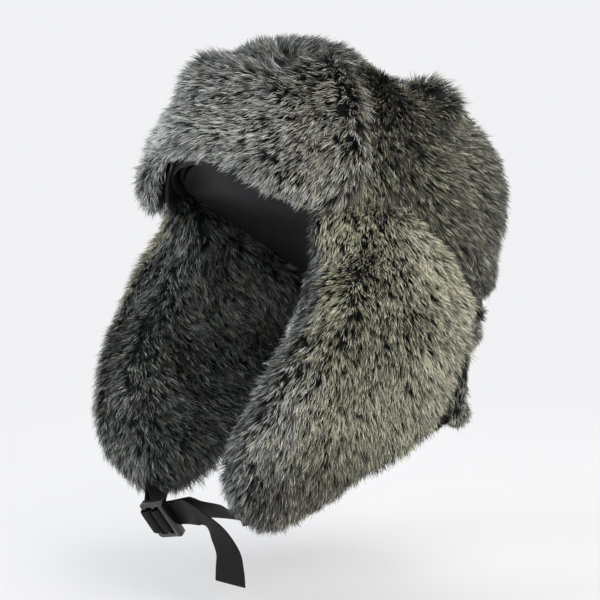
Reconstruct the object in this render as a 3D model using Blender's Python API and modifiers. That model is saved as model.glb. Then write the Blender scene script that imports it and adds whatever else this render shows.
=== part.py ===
"""Trapper hat: a fur crown, a turned-up brow flap, two ear flaps, a nape flap and an adjustable chin strap.

Metres, +Z up. The wearer faces -Y and the wearer's left is +X. The origin is the middle of the head
opening at temple height. Every soft panel is a closed solid with its fur pile included.
"""

import math

import bmesh
import bpy
from mathutils import Matrix, Vector

# Head space: half axes of the crown's inside, and how round its dome is
HEAD_HALF_WIDTH = 0.080
HEAD_HALF_FRONT = 0.090
HEAD_HALF_BACK = 0.111
HEAD_HEIGHT = 0.089
DOME_POWER = 2.1
WALL_REACH = 0.1  # drop below the origin at height value -1
BACK_SLOPE = 0.15  # share of its height that the dome loses towards the back
BACK_SLOPE_START = -0.010
BACK_SLOPE_END = 0.070

# Layers, counted outwards from the inside of the crown
LINING = 0.0012
BATTING_START = 0.0026
BATTING = 0.0055
FUR_START = 0.0097
FUR = 0.0215
SIDE_BACK_FUR = 0.0330  # on the side panels behind the ears
SIDE_LOW_SHARE = 0.35  # share of that extra thickness left near the lower edge
BACK_FULLNESS = 0.013  # extra puff of the fur behind the head
STRIP_FRONT_FUR = 1.5  # share of the fur's thickness at the front of the centre strip
STRIP_BACK_FUR = 0.45  # share of the fur's thickness left behind the top of the centre strip
SEAM_GAP = 0.0030

# Crown outline: heights of its lower edge round the head, and its centre strip
FRONT_EDGE_Z = 0.030
TEMPLE_ANGLE = 65.0
BACK_EDGE_Z = -0.086
BACK_DROP_START = 78.0
BACK_DROP_END = 138.0
STRIP_HALF_WIDTH = 0.045
STRIP_FRONT_HALF_WIDTH = 0.055
STRIP_FRONT_ARC = 57.0
STRIP_TAPER_END = 90.0
SIDE_BACK_ANGLE = 157.0
SWEATBAND_HEIGHT = 0.030
SWEATBAND = 0.0014
SWEATBAND_LOW = 0.001
SWEATBAND_OFFSET = -0.0026
SWEATBAND_REACH = 179.0  # degrees either way from the front

# Brow flap
BROW_ANGLE = 63.5
BROW_BOTTOM_Z = 0.035
BROW_END_BOTTOM_Z = 0.004
BROW_DROOP = 0.020  # how much lower it sits in front of the right temple
BROW_STAND_OFF = 0.0015
BROW_LAYER_GAP = 0.0008
BROW_FUR = 0.0205
BROW_TOP_FUR = 1.1  # share of the fur's thickness at the flap's top

# Ear flaps: side outline as (Y, Z) points, and thickness of each layer
EAR_FRONT_EDGE = ((-0.062, -0.003), (-0.072, -0.035), (-0.089, -0.074), (-0.111, -0.107), (-0.122, -0.142),
                  (-0.116, -0.176))
EAR_BOTTOM_EDGE = ((-0.116, -0.176), (-0.097, -0.200), (-0.066, -0.205), (-0.028, -0.188), (0.012, -0.167),
                   (0.052, -0.152))
EAR_FRONT_ANGLE = 59.0
EAR_BACK_ANGLE = 119.0
EAR_SEAM_OUT = 0.006  # how far outside the head space the middle layer stands at the seam: sideways, and
EAR_SEAM_ALONG = 0.008  # to the front and back
EAR_MID_HALF_WIDTH = 0.1040
FLARE_DEPTH = 0.195
FLARE_DROP = 0.070  # distance below the seam at which the flap stands fully out
EAR_TIP_PULL = 0.50  # share of the half width lost at the tip, between these two depths
EAR_TIP_START, EAR_TIP_END = 0.085, 0.235
EAR_BACK_PULL = 0.08  # share of the half width lost at the lower back corner
FLAP_BATTING = 0.0050
FLAP_PLY_START = 0.0047
OUTER_FUR = 0.0225
INNER_FUR = 0.0160
HINGE_GAP = 0.0050

# Nape flap
NAPE_ANGLE = 123.0
NAPE_BOTTOM_ANGLE = 131.0
NAPE_GAP = 0.0070
NAPE_SEAM_OUT = 0.009  # how far outside the head space the middle layer stands at the seam: sideways, and
NAPE_SEAM_BEHIND = 0.003  # behind the head
NAPE_BOTTOM_Z = -0.154
NAPE_BOTTOM_HALF_WIDTH = 0.082
NAPE_BOTTOM_DEPTH = 0.088

# Chin strap, tab and ladder buckle
WEBBING_WIDTH = 0.020
WEBBING = 0.0013
BUCKLE_CENTRE = Vector((-0.0251, -0.1089, -0.2139))
BUCKLE_BAR_TILT = 35.0  # degrees that the bars lean back from the vertical
BUCKLE_WIDTH = 0.0315
BUCKLE_TURN = 20.0  # degrees that the pull leans back from the wearer's left
BUCKLE_LENGTH = 0.0210
BUCKLE_RAIL = 0.0032
BUCKLE_THICKNESS = 0.0042
TAB_BAR_AT = -0.0084
MIDDLE_BAR_AT = 0.0000
LIP_BAR_AT = 0.0081
BAR_HALF = 0.0018
MIDDLE_BAR_HALF = 0.0012
LIP_HALF = 0.0024
LIP_HEIGHT = 0.0044
BUCKLE_UP = Vector((0, -math.sin(math.radians(BUCKLE_BAR_TILT)), math.cos(math.radians(BUCKLE_BAR_TILT))))
BUCKLE_PULL = Matrix.Rotation(math.radians(BUCKLE_TURN), 3, BUCKLE_UP) @ Vector((1, 0, 0))
BUCKLE_FRONT = BUCKLE_PULL.cross(BUCKLE_UP)

# The strap and the tab start between a flap's plies, at these (Y, Z) points
SEWN_END = ((-0.0885, -0.1878), (-0.0935, -0.1965))
SEWN_ACROSS = Vector((0, -0.873, 0.487))

# The strap's route: from the left flap to the buckle, through it as (along the pull, towards the front), and
# down its free tail, with the direction across its width at each stop
STRAP_RUN = ((0.0495, -0.0995, -0.1990), (0.0403, -0.0998, -0.1984), (0.0189, -0.0991, -0.2007),
             (0.0060, -0.0972, -0.2022))
STRAP_RUN_ACROSS = ((0, -0.873, 0.487), (0, -0.873, 0.487), (0, -0.82, 0.57), (0, -0.78, 0.62),
                    (0, -0.74, 0.67), (0, -0.66, 0.75))
STRAP_THREADED = ((0.0240, -0.0085), (0.0110, -0.0066), (0.0018, -0.0056), (-0.0022, -0.0040), (-0.0033, 0.0),
                  (-0.0023, 0.0028), (0.0, 0.0038), (0.0023, 0.0028), (0.0035, 0.0), (0.0046, -0.0030),
                  (0.0085, -0.0038), (0.0150, -0.0036))
STRAP_TAIL = ((0.0005, -0.1058, -0.2052), (0.0138, -0.1095, -0.2032), (0.0236, -0.1058, -0.2066),
              (0.0310, -0.1013, -0.2154), (0.0335, -0.0957, -0.2281), (0.0338, -0.0944, -0.2399),
              (0.0333, -0.0937, -0.2498))
STRAP_TAIL_ACROSS = ((-0.08, -0.46, 0.88), (0.11, -0.52, 0.85), (0.72, -0.43, 0.55), (0.93, 0, 0.36),
                     (0.93, 0.30, 0.20), (0.80, 0.57, 0.17), (0.62, 0.79, 0.10))

# The tab's two plies, and their loop round the tab bar as (along the pull, towards the front)
TAB_RUN = Vector((-0.0502, -0.0975, -0.2030))
TAB_PLY_APART = 0.0010
TAB_LOOP = ((-0.0136, -0.0058), (-0.0122, -0.0010), (-0.0117, 0.0027), (-0.0101, 0.0036), (-0.0070, 0.0036),
            (-0.0055, 0.0027), (-0.0052, -0.0005), (-0.0054, -0.0045))

# Where each moving group folds: the point on its hinge line, and what its objects' names start with
HINGES = {
    "brow_flap_hinge": ((0, -0.120, 0.008), ("brow_flap",)),
    "ear_flap_left_hinge": ((0.113, -0.055, 0), ("ear_flap_left", "chin_strap")),
    "ear_flap_right_hinge": ((-0.113, -0.055, 0), ("ear_flap_right", "buckle_tab")),
    "nape_flap_hinge": ((0, 0.146, -0.090), ("nape_flap",)),
    "buckle_hinge": (BUCKLE_CENTRE + BUCKLE_PULL * TAB_BAR_AT, ("ladder_buckle",)),
}

FUR_COLOUR = (0.075, 0.080, 0.085, 1)
INNER_FUR_COLOUR = (0.050, 0.054, 0.058, 1)
BATTING_COLOUR = (0.85, 0.85, 0.83, 1)
LINING_COLOUR = (0.012, 0.012, 0.014, 1)
WEBBING_COLOUR = (0.012, 0.012, 0.013, 1)
BUCKLE_COLOUR = (0.010, 0.010, 0.012, 1)


def clear_scene():
    for thing in list(bpy.data.objects):
        bpy.data.objects.remove(thing, do_unlink=True)


def material(name, colour, roughness):
    made = bpy.data.materials.new(name)
    made.use_nodes = True
    shader = made.node_tree.nodes["Principled BSDF"]
    shader.inputs["Base Color"].default_value = colour
    shader.inputs["Roughness"].default_value = roughness
    return made


def smooth(value, low, high):
    """0 before low, 1 after high, and an S curve between them."""
    share = min(1.0, max(0.0, (value - low) / (high - low)))
    return share * share * (3 - 2 * share)


def mix(first, second, share):
    return first + (second - first) * share


def along(points, share):
    """The point at that share of a smooth line through the points."""
    spans = len(points) - 1
    place = min(share * spans, spans - 1e-9)
    first = int(place)
    t = place - first
    before = points[max(first - 1, 0)]
    start, end = points[first], points[first + 1]
    after = points[min(first + 2, spans)]
    return tuple(
        0.5 * (2 * b + (c - a) * t + (2 * a - 5 * b + 4 * c - d) * t**2 + (3 * b - a - 3 * c + d) * t**3)
        for a, b, c, d in zip(before, start, end, after)
    )


# The crown's shape


def crown_sizes(angle, offset):
    """Half width, half depth and height of the dome at that offset, facing that angle from the front."""
    backward = smooth(angle, 80, 180)
    depth = HEAD_HALF_FRONT if angle < 90 else HEAD_HALF_BACK
    puff = BACK_FULLNESS * backward * offset / FUR
    return HEAD_HALF_WIDTH + offset + 0.4 * puff, depth + offset + puff, HEAD_HEIGHT + offset


def sloped(spot):
    """Lowers a point of the dome towards the back."""
    if spot.z > 0:
        spot.z *= 1 - BACK_SLOPE * smooth(spot.y, BACK_SLOPE_START, BACK_SLOPE_END)
    return spot


def crown_point(angle, rise, offset):
    """rise is 1 at the dome's top, 0 at the origin's height, and negative down the wall. Angles are from the front."""
    width, depth, height = crown_sizes(angle, offset)
    if rise < 0:
        share, z = 1.0, rise * WALL_REACH
    else:
        turn = rise * math.pi / 2
        share = max(0.0, math.cos(turn)) ** (2 / DOME_POWER)
        z = height * math.sin(turn) ** (2 / DOME_POWER)
    facing = math.radians(angle)
    return sloped(Vector((width * share * math.sin(facing), -depth * share * math.cos(facing), z)))


def rise_at(z, offset):
    if z <= 0:
        return z / WALL_REACH
    height = HEAD_HEIGHT + offset
    return math.asin(min(1.0, z / height) ** (DOME_POWER / 2)) * 2 / math.pi


def lower_edge(angle):
    """Height of the crown's lower edge at that angle from the front."""
    front = FRONT_EDGE_Z * (1 - smooth(angle, 0, TEMPLE_ANGLE))
    return front + BACK_EDGE_Z * smooth(angle, BACK_DROP_START, BACK_DROP_END)


def strip_half_width(arc):
    return mix(STRIP_FRONT_HALF_WIDTH, STRIP_HALF_WIDTH, smooth(arc, STRIP_FRONT_ARC, STRIP_TAPER_END))


def section_point(across, arc, offset):
    """A point on the level dome at that distance from its middle plane. arc runs over the top from 0, front, to
    180, back."""
    angle = 0 if arc < 90 else 180
    width, depth, height = crown_sizes(angle, offset)
    narrowing = (1 - abs(across / width) ** DOME_POWER) ** (1 / DOME_POWER)
    turn = math.radians(min(arc, 180))
    forward = abs(math.cos(turn)) ** (2 / DOME_POWER) * (1 if arc < 90 else -1)
    height_share = max(0.0, math.sin(turn)) ** (2 / DOME_POWER)
    drop = max(0.0, arc - 180) / 90 * WALL_REACH
    return Vector((across, -depth * narrowing * forward, height * narrowing * height_share - drop))


def back_arc():
    """The arc at which the centre strip meets the crown's lower edge behind the head."""
    return 180 - BACK_EDGE_Z / WALL_REACH * 90


def strip_surface(offset):
    """The centre strip, front to back."""

    def point(u, v):
        arc = mix(STRIP_FRONT_ARC, back_arc(), v)
        half = strip_half_width(arc) - SEAM_GAP / 2
        return sloped(section_point(mix(-half, half, u), arc, offset))

    return point


def place_of(across, arc, offset):
    """Angle and rise of a point of the dome given by its distance from the middle plane and its arc."""
    spot = section_point(across, arc, offset)
    width, depth, _ = crown_sizes(0 if arc < 90 else 180, offset)
    return math.degrees(math.atan2(spot.x / width, -spot.y / depth)), rise_at(spot.z, offset)


def seam_place(u, offset):
    """Angle and rise of the seam beside the centre strip, from the brow flap's end to behind the head."""
    arc = mix(STRIP_FRONT_ARC, 180, u)
    return place_of(strip_half_width(arc) + SEAM_GAP / 2, arc, offset)


def side_surface(side, offset):
    """A side panel, from the brow flap's end to the back of the centre strip."""

    def point(u, v):
        u = u if side > 0 else 1 - u
        top_angle, top_rise = seam_place(u, offset)
        low_angle = mix(TEMPLE_ANGLE + 1, min(SIDE_BACK_ANGLE, seam_place(1, offset)[0]), u)
        low_rise = rise_at(lower_edge(low_angle), offset)
        spot = crown_point(mix(low_angle, top_angle, v), mix(low_rise, top_rise, v), offset)
        return Vector((side * spot.x, spot.y, spot.z))

    return point


def band_surface(offset):
    """The sweatband: round the head opening, from just above the crown's lower edge."""

    def point(u, v):
        angle = mix(-SWEATBAND_REACH, SWEATBAND_REACH, u)
        z = lower_edge(abs(angle)) + mix(SWEATBAND_LOW, SWEATBAND_HEIGHT, v)
        spot = crown_point(abs(angle), rise_at(z, offset), offset)
        return Vector((math.copysign(spot.x, angle), spot.y, spot.z))

    return point


def front_surface(offset, low, reach, inset=0.0):
    """The front of the crown, from a lower height, a function of the angle, up to the centre strip's front edge."""

    def point(u, v):
        share = mix(-1, 1, mix(inset * 0.3, 1 - inset * 0.3, u))
        v = mix(inset, 1 - inset, v)
        across = share * (STRIP_FRONT_HALF_WIDTH - SEAM_GAP / 2)
        high_angle, high_rise = place_of(across, STRIP_FRONT_ARC - 2.5, offset)
        low_angle = share * reach
        low_rise = rise_at(low(low_angle), offset)
        angle = mix(low_angle, high_angle, v)
        spot = crown_point(abs(angle), mix(low_rise, high_rise, v), offset)
        return Vector((math.copysign(spot.x, angle), spot.y, spot.z))

    return point


# The flaps' shapes


def ear_half_width(y, z):
    """Distance of an ear flap's middle layer from the middle plane."""
    depth = HEAD_HALF_FRONT if y < 0 else HEAD_HALF_BACK
    depth += EAR_SEAM_ALONG
    crown = (HEAD_HALF_WIDTH + EAR_SEAM_OUT) * math.sqrt(max(0.02, 1 - (y / depth) ** 2))
    flared = EAR_MID_HALF_WIDTH * math.sqrt(max(0.02, 1 - (y / FLARE_DEPTH) ** 2))
    angle = math.degrees(math.acos(max(-1, min(1, -y / depth))))
    drop = lower_edge(angle) - z
    pull = 1 - EAR_TIP_PULL * smooth(-z, EAR_TIP_START, EAR_TIP_END)
    pull -= EAR_BACK_PULL * smooth(y, 0.0, 0.06) * smooth(-z, 0.06, 0.16)
    return mix(crown, flared, smooth(drop, 0, FLARE_DROP)) * pull


def flap_middle(side, y, z):
    """A point on an ear flap's middle layer, between its fur plies."""
    return Vector((side * ear_half_width(y, z), y, z))


def ear_outline(u, v):
    """Side position (Y, Z) on an ear flap: u from its front edge to its back edge, v from its seam down."""
    start = math.radians(EAR_FRONT_ANGLE)
    end = math.radians(EAR_BACK_ANGLE)

    def seam(share):
        angle = mix(start, end, share)
        depth = HEAD_HALF_FRONT if math.cos(angle) > 0 else HEAD_HALF_BACK
        y = -(depth + EAR_SEAM_ALONG) * math.cos(angle)
        return y, lower_edge(math.degrees(angle)) - HINGE_GAP

    def back(share):
        top, low = seam(1), EAR_BOTTOM_EDGE[-1]
        return mix(top[0], low[0], share), mix(top[1], low[1], share)

    def front(share):
        offset = 1 - share
        y, z = along(EAR_FRONT_EDGE, share)
        first = seam(0)
        return y + offset * (first[0] - EAR_FRONT_EDGE[0][0]), z + offset * (first[1] - EAR_FRONT_EDGE[0][1])

    bottom = along(EAR_BOTTOM_EDGE, u)
    corners = seam(0), seam(1), EAR_BOTTOM_EDGE[0], EAR_BOTTOM_EDGE[-1]
    return tuple(
        mix(seam(u)[i], bottom[i], v)
        + mix(front(v)[i], back(v)[i], u)
        - mix(mix(corners[0][i], corners[1][i], u), mix(corners[2][i], corners[3][i], u), v)
        for i in range(2)
    )


def normal_of(point, u, v):
    """Unit normal of point(u, v), from small steps that stay inside the panel."""
    step = 0.004
    du = point(min(1, u + step), v) - point(max(0, u - step), v)
    dv = point(u, min(1, v + step)) - point(u, max(0, v - step))
    return du.cross(dv).normalized()


def ear_surface(side, offset, inset=0.0):
    """An ear flap's layer at that offset from its middle, towards the outside. inset draws its edges in."""

    def middle(u, v):
        y, z = ear_outline(u, v)
        return Vector((ear_half_width(y, z), y, z))

    def point(u, v):
        u = u if side < 0 else 1 - u
        u = mix(inset, 1 - inset, u)
        v = mix(inset * 0.6, 1 - inset, v)
        outward = normal_of(middle, u, v)
        outward = outward if outward.x > 0 else -outward
        spot = middle(u, v) + outward * offset
        return Vector((side * spot.x, spot.y, spot.z))

    return point


def nape_surface(offset, inset=0.0):
    """A nape flap's layer at that offset from its middle, from the left ear flap round to the right one."""

    def around(share, v):
        """The sheet behind the head, share being 0 at its middle and 1 at its end on the left."""
        angle = mix(180, mix(NAPE_ANGLE, NAPE_BOTTOM_ANGLE, v), share)
        z = mix(lower_edge(angle) - HINGE_GAP, NAPE_BOTTOM_Z, v)
        sink = smooth(z, NAPE_BOTTOM_Z, BACK_EDGE_Z)
        width = mix(NAPE_BOTTOM_HALF_WIDTH, HEAD_HALF_WIDTH + NAPE_SEAM_OUT, sink)
        depth = mix(NAPE_BOTTOM_DEPTH, HEAD_HALF_BACK + NAPE_SEAM_BEHIND, sink)
        facing = math.radians(angle)
        return Vector((width * math.sin(facing), -depth * math.cos(facing), z))

    def end(v):
        """Where the sheet ends, a seam's gap behind the left ear flap's back edge."""
        edge = flap_middle(1, *ear_outline(1, v))
        return edge + (edge - flap_middle(1, *ear_outline(0.96, v))).normalized() * NAPE_GAP

    def middle(u, v):
        share = mix(-1, 1, u)
        spot = around(abs(share), v) + (end(v) - around(1, v)) * smooth(abs(share), 0.3, 1)
        return Vector((math.copysign(spot.x, share), spot.y, spot.z))

    def point(u, v):
        u = mix(inset, 1 - inset, u)
        v = mix(inset * 0.6, 1 - inset, v)
        outward = normal_of(middle, u, v)
        outward = outward if outward.y > 0 else -outward
        return middle(u, v) + outward * offset

    return point


# Making solids


def add_object(name, mesh, colour, collection):
    thing = bpy.data.objects.new(name, mesh)
    thing.data.materials.append(colour)
    collection.objects.link(thing)
    return thing


def rounded(share, reach):
    """0 at either end of a span, 1 in from the ends, with a quarter circle between."""
    near = min(1.0, min(share, 1 - share) / reach)
    return math.sqrt(max(0.0, 1 - (1 - near) ** 2))


def panel(name, point, columns, rows, thickness, colour, collection, edge=1.0, reach=0.28, fullness=None):
    """A soft panel: a grid laid on point(u, v) and thickened along its normals, thinner at its edges.
    fullness gives the share of its thickness at (u, v)."""
    mesh = bpy.data.meshes.new(name)
    shape = bmesh.new()
    bmesh.ops.create_grid(shape, x_segments=columns, y_segments=rows, size=1)
    places = [((corner.co.x + 1) / 2, (corner.co.y + 1) / 2) for corner in shape.verts]
    for corner, (u, v) in zip(shape.verts, places):
        corner.co = point(u, v)
    shape.to_mesh(mesh)
    shape.free()
    thing = add_object(name, mesh, colour, collection)
    group = thing.vertex_groups.new(name="Fullness")
    for index, (u, v) in enumerate(places):
        share = edge + (1 - edge) * rounded(u, reach) * rounded(v, reach)
        group.add([index], share * (fullness(u, v) if fullness else 1), "REPLACE")
    solid = thing.modifiers.new("Thickness", "SOLIDIFY")
    solid.thickness = thickness
    solid.offset = 1
    solid.vertex_group = group.name
    mesh.shade_smooth()
    return thing


def ribbon(name, centres, across, colour, collection):
    """Flat webbing along the centres, with the direction of its width at each."""
    mesh = bpy.data.meshes.new(name)
    shape = bmesh.new()
    bmesh.ops.create_grid(shape, x_segments=1, y_segments=len(centres) - 1, size=1)
    for corner in shape.verts:
        index = round((corner.co.y + 1) / 2 * (len(centres) - 1))
        corner.co = centres[index] + across[index] * (corner.co.x * WEBBING_WIDTH / 2)
    shape.to_mesh(mesh)
    shape.free()
    thing = add_object(name, mesh, colour, collection)
    solid = thing.modifiers.new("Thickness", "SOLIDIFY")
    solid.thickness = WEBBING
    solid.offset = 0
    return thing


def strip_fullness(u, v):
    """The centre strip's fur is fuller at its front and flatter just behind its top."""
    front = mix(STRIP_FRONT_FUR, 1, smooth(v, 0, 0.2))
    return front * mix(1, STRIP_BACK_FUR, smooth(v, 0.18, 0.36) * (1 - smooth(v, 0.45, 0.75)))


def side_fullness(u, v):
    """A side panel's fur grows fuller behind the ear, and most of all near its top."""
    return mix(FUR / SIDE_BACK_FUR, 1, smooth(u, 0.3, 0.7) * mix(SIDE_LOW_SHARE, 1, smooth(v, 0.3, 0.8)))


def make_crown(collection, fur, batting, lining):
    strip = dict(columns=6, rows=12)
    side = dict(columns=10, rows=7)
    top = dict(edge=0.70, reach=0.25)
    panel("crown_centre_lining", strip_surface(0), thickness=LINING, colour=lining, collection=collection, **strip)
    panel("crown_centre_batting", strip_surface(BATTING_START), thickness=BATTING, colour=batting,
          collection=collection, **strip)
    panel("crown_centre_fur", strip_surface(FUR_START), thickness=FUR, colour=fur, collection=collection,
          fullness=strip_fullness, **strip, **top)
    for name, sign in (("left", 1), ("right", -1)):
        panel(f"crown_{name}_lining", side_surface(sign, 0), thickness=LINING, colour=lining,
              collection=collection, **side)
        panel(f"crown_{name}_batting", side_surface(sign, BATTING_START), thickness=BATTING, colour=batting,
              collection=collection, **side)
        panel(f"crown_{name}_fur", side_surface(sign, FUR_START), thickness=SIDE_BACK_FUR, colour=fur,
              collection=collection, fullness=lambda u, v: side_fullness(u if sign > 0 else 1 - u, v),
              **side, **top)


def make_front(collection, fur, batting, lining):
    """The crown's cloth front and the brow flap that stands turned up against it."""

    def crown_bottom(angle):
        return lower_edge(abs(angle))

    def brow_bottom(angle):
        droop = BROW_DROOP * smooth(-angle, 10, 40) * (1 - smooth(-angle, 45, BROW_ANGLE))
        return mix(BROW_BOTTOM_Z, BROW_END_BOTTOM_Z, smooth(abs(angle), 12, BROW_ANGLE)) - droop

    cloth = dict(thickness=LINING, collection=collection)
    front = dict(columns=12, rows=5)
    panel("crown_front_lining", front_surface(0, crown_bottom, TEMPLE_ANGLE), colour=lining, **cloth, **front)
    panel("crown_front_batting", front_surface(BATTING_START, crown_bottom, TEMPLE_ANGLE),
          thickness=BATTING, colour=batting, collection=collection, **front)
    panel("crown_front_shell", front_surface(FUR_START, crown_bottom, TEMPLE_ANGLE), colour=lining, **cloth, **front)

    backing = FUR_START + LINING + BROW_STAND_OFF
    filling = backing + LINING + BROW_LAYER_GAP
    face = filling + FLAP_BATTING + BROW_LAYER_GAP
    brow = dict(columns=14, rows=5)
    panel("brow_flap_backing", front_surface(backing, brow_bottom, BROW_ANGLE), colour=lining, **cloth, **brow)
    panel("brow_flap_batting", front_surface(filling, brow_bottom, BROW_ANGLE, 0.06), thickness=FLAP_BATTING,
          colour=batting, collection=collection, edge=0.6, **brow)
    panel("brow_flap_fur", front_surface(face, brow_bottom, BROW_ANGLE), thickness=BROW_FUR, colour=fur,
          collection=collection, edge=0.6, reach=0.2, fullness=lambda u, v: mix(1, BROW_TOP_FUR, smooth(v, 0.2, 1)),
          **brow)


def make_sweatband(collection, lining):
    """A band round the head opening, inside the lining, with its ends meeting behind the head."""
    panel("sweatband", band_surface(SWEATBAND_OFFSET), columns=36, rows=2, thickness=SWEATBAND, colour=lining,
          collection=collection)


def make_flaps(collection, fur, inner_fur, batting):
    for name, sign in (("left", 1), ("right", -1)):
        half_batting = FLAP_BATTING / 2
        panel(f"ear_flap_{name}_batting", ear_surface(sign, -half_batting, 0.14), columns=6, rows=6,
              thickness=FLAP_BATTING, colour=batting, collection=collection)
        panel(f"ear_flap_{name}_outer_fur", ear_surface(sign, FLAP_PLY_START), columns=9, rows=10,
              thickness=OUTER_FUR, colour=fur, collection=collection, edge=0.4, reach=0.22)
        inside = panel(f"ear_flap_{name}_inner_fur", ear_surface(sign, -FLAP_PLY_START), columns=9, rows=10,
                       thickness=INNER_FUR, colour=inner_fur, collection=collection, edge=0.4, reach=0.22)
        turn_inwards(inside)
    panel("nape_flap_batting", nape_surface(-FLAP_BATTING / 2, 0.06), columns=8, rows=3, thickness=FLAP_BATTING,
          colour=batting, collection=collection)
    panel("nape_flap_outer_fur", nape_surface(FLAP_PLY_START), columns=10, rows=5, thickness=OUTER_FUR,
          colour=fur, collection=collection, edge=0.45, reach=0.25)
    turn_inwards(panel("nape_flap_inner_fur", nape_surface(-FLAP_PLY_START), columns=10, rows=5,
                       thickness=INNER_FUR, colour=inner_fur, collection=collection, edge=0.45, reach=0.25))


def buckle_place(pull, front, up=0.0):
    """A point given in the buckle's own directions: along the pull, towards its front face, and up its bars."""
    return BUCKLE_CENTRE + BUCKLE_PULL * pull + BUCKLE_FRONT * front + BUCKLE_UP * up


def rounded_outline(curve, low, high, radius):
    """A closed rectangle with round corners, as one spline of a flat curve."""
    corners = ((high[0], high[1], 0), (low[0], high[1], 90), (low[0], low[1], 180), (high[0], low[1], 270))
    points = []
    for x, y, start in corners:
        centre_x = x - math.copysign(radius, x - (low[0] + high[0]) / 2)
        centre_y = y - math.copysign(radius, y - (low[1] + high[1]) / 2)
        for step in range(4):
            turn = math.radians(start + 30 * step)
            points.append((centre_x + radius * math.cos(turn), centre_y + radius * math.sin(turn)))
    spline = curve.splines.new("POLY")
    spline.points.add(len(points) - 1)
    for spot, (x, y) in zip(spline.points, points):
        spot.co = (x, y, 0, 1)
    spline.use_cyclic_u = True


def make_buckle(collection, cutters, plastic):
    """A moulded ladder buckle: side rails, a tab bar, a middle bar and a thick lipped bar."""
    half_length, half_width = BUCKLE_LENGTH / 2, BUCKLE_WIDTH / 2
    slot_half = half_width - BUCKLE_RAIL
    curve = bpy.data.curves.new("buckle_outline", "CURVE")
    curve.dimensions = "2D"
    curve.fill_mode = "BOTH"
    curve.extrude = BUCKLE_THICKNESS / 2
    rounded_outline(curve, (-half_length, -half_width), (half_length, half_width), 0.0022)
    rounded_outline(curve, (TAB_BAR_AT + BAR_HALF, -slot_half), (MIDDLE_BAR_AT - MIDDLE_BAR_HALF, slot_half), 0.0010)
    rounded_outline(curve, (MIDDLE_BAR_AT + MIDDLE_BAR_HALF, -slot_half), (LIP_BAR_AT - LIP_HALF, slot_half), 0.0010)
    flat = bpy.data.objects.new("buckle_outline", curve)
    collection.objects.link(flat)
    graph = bpy.context.evaluated_depsgraph_get()
    mesh = bpy.data.meshes.new_from_object(flat.evaluated_get(graph))
    bpy.data.objects.remove(flat)
    shape = bmesh.new()
    shape.from_mesh(mesh)
    bmesh.ops.remove_doubles(shape, verts=shape.verts, dist=1e-6)
    shape.to_mesh(mesh)
    shape.free()
    mesh.materials.clear()
    frame = add_object("ladder_buckle", mesh, plastic, collection)

    bpy.ops.mesh.primitive_cube_add(size=1)
    lip = bpy.context.object
    lip.name = "buckle_lip"
    lip.data.transform(Matrix.Diagonal((2 * LIP_HALF - 0.0006, BUCKLE_WIDTH - 0.0012, LIP_HEIGHT, 1)))
    lip.data.transform(Matrix.Translation((LIP_BAR_AT, 0, BUCKLE_THICKNESS / 2 - 0.0006)))
    bevel = lip.modifiers.new("Round", "BEVEL")
    bevel.width = 0.0011
    bevel.segments = 2
    move_to(lip, cutters)
    join = frame.modifiers.new("Lip", "BOOLEAN")
    join.operation = "UNION"
    join.object = lip

    for thing in (frame, lip):
        thing.location = BUCKLE_CENTRE
        thing.rotation_euler = Matrix((BUCKLE_PULL, BUCKLE_UP, BUCKLE_FRONT)).transposed().to_euler()


def move_to(thing, cutters):
    for owner in list(thing.users_collection):
        owner.objects.unlink(thing)
    cutters.objects.link(thing)
    thing.hide_render = True
    thing.display_type = "WIRE"


def spaced_path(points, across, count):
    """Centres at equal shares along a smooth line through the points, and width directions square to it."""
    centres = [Vector(along(points, index / (count - 1))) for index in range(count)]
    widths = []
    for index, centre in enumerate(centres):
        ahead = centres[min(index + 1, count - 1)] - centres[max(index - 1, 0)]
        ahead.normalize()
        wanted = Vector(along(across, index / (count - 1)))
        widths.append((wanted - ahead * wanted.dot(ahead)).normalized())
    return centres, widths


def make_strap(collection, webbing):
    """The chin strap, sewn into the left flap's tip and threaded through the buckle, with its free tail."""
    points = [flap_middle(1, y, z) for y, z in SEWN_END]
    points += [Vector(spot) for spot in STRAP_RUN]
    points += [buckle_place(pull, front) for pull, front in STRAP_THREADED]
    points += [Vector(spot) for spot in STRAP_TAIL]
    across = [Vector(turn) for turn in STRAP_RUN_ACROSS]
    across += [BUCKLE_UP] * len(STRAP_THREADED)
    across += [Vector(turn) for turn in STRAP_TAIL_ACROSS]
    centres, widths = spaced_path(points, across, 3 * len(points))
    ribbon("chin_strap", centres, widths, webbing, collection)


def make_tab(collection, webbing):
    """The webbing loop that holds the buckle on the right flap's tip."""
    run = [flap_middle(-1, y, z) for y, z in SEWN_END] + [TAB_RUN]
    apart = Vector((TAB_PLY_APART, 0, 0))
    loop = [buckle_place(pull, front) for pull, front in TAB_LOOP]
    points = [spot - apart for spot in run] + loop + [spot + apart for spot in reversed(run)]
    edge = [SEWN_ACROSS, SEWN_ACROSS, SEWN_ACROSS.lerp(BUCKLE_UP, 0.4)]
    across = edge + [BUCKLE_UP] * len(loop) + edge[::-1]
    centres, widths = spaced_path(points, across, 3 * len(points))
    ribbon("buckle_tab", centres, widths, webbing, collection)


def turn_inwards(thing):
    """Makes a panel grow towards the wearer."""
    thing.data.flip_normals()


def hang_on_hinges(collection):
    """Parents each moving group to an empty that stands on its hinge line."""
    for name, (place, starts) in HINGES.items():
        pieces = [thing for thing in collection.objects if thing.name.startswith(starts)]
        hinge = bpy.data.objects.new(name, None)
        hinge.location = place
        collection.objects.link(hinge)
        for piece in pieces:
            piece.parent = hinge
            piece.matrix_parent_inverse = Matrix.Translation(-Vector(place))


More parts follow.
